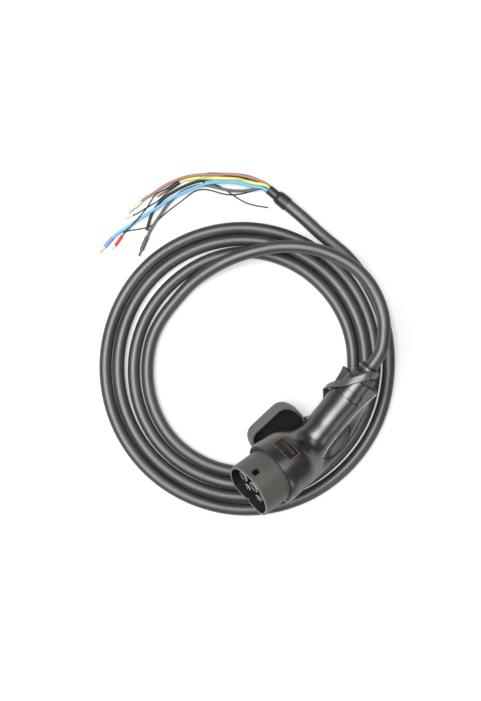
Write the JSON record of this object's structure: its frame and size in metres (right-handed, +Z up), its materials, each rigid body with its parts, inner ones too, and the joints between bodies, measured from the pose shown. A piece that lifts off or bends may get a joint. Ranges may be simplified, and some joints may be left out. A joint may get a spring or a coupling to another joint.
{
  "type": "ev charging cable",
  "caption": "Coiled black cable with an angled D-mouthed vehicle connector on one end, its tethered cap beside it, and stripped coloured conductors on the other end.",
  "frame": {"origin": "middle of the coil's eye, at floor level", "axes": "+Z up from the floor; +Y to the top of the picture, where the stripped end leaves; +X to the right, where the connector's cable leaves it"},
  "size_m": [0.3544, 0.4118, 0.1195],
  "materials": {
    "black_insulation": "satin",
    "blue_insulation": "satin",
    "blue_sleeve": "satin",
    "brown_insulation": "satin",
    "brown_sleeve": "satin",
    "cable_jacket": "satin",
    "cap_rubber": "matt",
    "contact_plastic": "satin",
    "contact_silver": "silver plated",
    "copper": "bare strands",
    "dark_tin": "dull",
    "earth_insulation": "satin, green and yellow",
    "earth_sleeve": "satin",
    "gilt": "bright",
    "gland_plastic": "satin",
    "grey_insulation": "satin",
    "grey_sleeve": "satin",
    "housing_plastic": "satin",
    "label_film": "matt",
    "pale_sleeve": "satin",
    "red_sleeve": "satin",
    "screw_steel": "zinc plated",
    "seal_rubber": "matt",
    "shrink_tube": "satin",
    "shroud_plastic": "satin",
    "tin": "tinned",
    "wire_insulation": "satin"
  },
  "bodies": {
    "root": {"blue_sleeve": "blue_sleeve", "blue_tip": "gilt", "brown_sleeve": "brown_sleeve", "brown_tip": "tin", "cable_coil": "cable_jacket", "cable_end_in_handle": "cable_jacket", "cable_free_end": "cable_jacket", "cable_gland": "gland_plastic", "cable_to_connector": "cable_jacket", "cap_strap": "cap_rubber", "contact_carrier": "contact_plastic", "contact_cp": "contact_silver", "contact_l1": "contact_silver", "contact_l2": "contact_silver", "contact_l3": "contact_silver", "contact_n": "contact_silver", "contact_pe": "contact_silver", "contact_pp": "contact_silver", "contact_retainer": "contact_plastic", "core_black": "black_insulation", "core_blue": "blue_insulation", "core_boot": "shrink_tube", "core_brown": "brown_insulation", "core_earth": "earth_insulation", "core_grey": "grey_insulation", "earth_sleeve": "earth_sleeve", "earth_tip": "copper", "gland_nut": "gland_plastic", "grey_sleeve": "grey_sleeve", "grey_tip": "dark_tin", "heat_shrink_collar": "shrink_tube", "housing_lower": "housing_plastic", "housing_screws": "screw_steel", "housing_upper": "housing_plastic", "inner_core_cp": "wire_insulation", "inner_core_l1": "brown_insulation", "inner_core_l2": "black_insulation", "inner_core_l3": "grey_insulation", "inner_core_n": "blue_insulation", "inner_core_pe": "earth_insulation", "inner_core_pp": "wire_insulation", "label_plate": "label_film", "mating_shroud": "shroud_plastic", "nose_seal": "seal_rubber", "pale_sleeve": "pale_sleeve", "pale_tip": "tin", "protective_cap": "cap_rubber", "red_sleeve": "red_sleeve", "red_tip": "tin", "strain_relief": "seal_rubber", "wire_a": "wire_insulation", "wire_c": "wire_insulation", "wire_e": "wire_insulation", "wire_f": "wire_insulation"}
  },
  "joints": []
}
